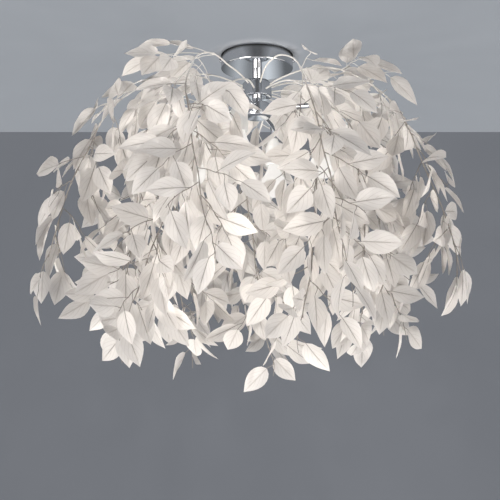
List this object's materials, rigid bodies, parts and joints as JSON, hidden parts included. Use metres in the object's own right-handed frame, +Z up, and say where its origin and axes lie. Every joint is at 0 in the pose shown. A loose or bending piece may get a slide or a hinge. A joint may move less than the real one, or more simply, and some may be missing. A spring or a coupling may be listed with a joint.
{
  "type": "ceiling light",
  "caption": "Ceiling light on a short chromed stem, with its bulbs inside a wide round crown of hanging leafy twigs.",
  "frame": {"origin": "middle of the ceiling face, in line with the stem", "axes": "+Z up into the ceiling, +X along the ceiling bracket and its slots, -Y towards the side shown in the picture"},
  "size_m": [0.7013, 0.6915, 0.5507],
  "materials": {
    "chrome": "polished",
    "zinc_plate": "satin",
    "brass": "satin",
    "terminal_plastic": "matte",
    "lead_insulation": "satin",
    "holder_plastic": "satin",
    "cap_metal": "satin",
    "opal_glass": "satin",
    "twig_coating": "matte",
    "leaf_cloth": "matte"
  },
  "bodies": {
    "root": {"ceiling_bracket": "zinc_plate", "canopy": "chrome", "side_screws": "chrome", "terminal_block": "terminal_plastic", "terminal_screws": "brass", "earth_terminal": "brass", "supply_leads": "lead_insulation", "canopy_nipple": "brass", "nipple_nuts": "zinc_plate", "nipple_washers": "zinc_plate", "stem_tube": "chrome", "twig_collar": "chrome", "collar_grub_screws": "zinc_plate", "hub_nipple": "brass", "hub_body": "chrome", "hub_cover": "chrome", "lamp_arm_1": "chrome", "lamp_arm_2": "chrome", "lamp_arm_3": "chrome", "lamp_arm_4": "chrome", "lampholder_1": "holder_plastic", "lampholder_2": "holder_plastic", "lampholder_3": "holder_plastic", "lampholder_4": "holder_plastic", "twig_stems_1": "twig_coating", "twig_stems_2": "twig_coating", "twig_stems_3": "twig_coating", "twig_stems_4": "twig_coating", "twig_stems_5": "twig_coating", "twig_stems_6": "twig_coating", "twig_stems_7": "twig_coating", "twig_stems_8": "twig_coating", "twig_stems_9": "twig_coating", "twig_stems_10": "twig_coating", "twig_stems_11": "twig_coating", "twig_stems_12": "twig_coating", "twig_stems_13": "twig_coating", "twig_stems_14": "twig_coating", "twig_leaves_1": "leaf_cloth", "twig_leaves_2": "leaf_cloth", "twig_leaves_3": "leaf_cloth", "twig_leaves_4": "leaf_cloth", "twig_leaves_5": "leaf_cloth", "twig_leaves_6": "leaf_cloth", "twig_leaves_7": "leaf_cloth", "twig_leaves_8": "leaf_cloth", "twig_leaves_9": "leaf_cloth", "twig_leaves_10": "leaf_cloth", "twig_leaves_11": "leaf_cloth", "twig_leaves_12": "leaf_cloth", "twig_leaves_13": "leaf_cloth", "twig_leaves_14": "leaf_cloth"},
    "bulb_1": {"bulb_cap_1": "cap_metal", "bulb_glass_1": "opal_glass"},
    "bulb_2": {"bulb_cap_2": "cap_metal", "bulb_glass_2": "opal_glass"},
    "bulb_3": {"bulb_cap_3": "cap_metal", "bulb_glass_3": "opal_glass"},
    "bulb_4": {"bulb_cap_4": "cap_metal", "bulb_glass_4": "opal_glass"}
  },
  "joints": [
    {"name": "bulb_1_out", "type": "slide", "parent": "root", "child": "bulb_1", "axis": [0, 0, -1], "range_m": [0, 0.032]},
    {"name": "bulb_2_out", "type": "slide", "parent": "root", "child": "bulb_2", "axis": [0, 0, -1], "range_m": [0, 0.032]},
    {"name": "bulb_3_out", "type": "slide", "parent": "root", "child": "bulb_3", "axis": [0, 0, -1], "range_m": [0, 0.032]},
    {"name": "bulb_4_out", "type": "slide", "parent": "root", "child": "bulb_4", "axis": [0, 0, -1], "range_m": [0, 0.032]}
  ]
}
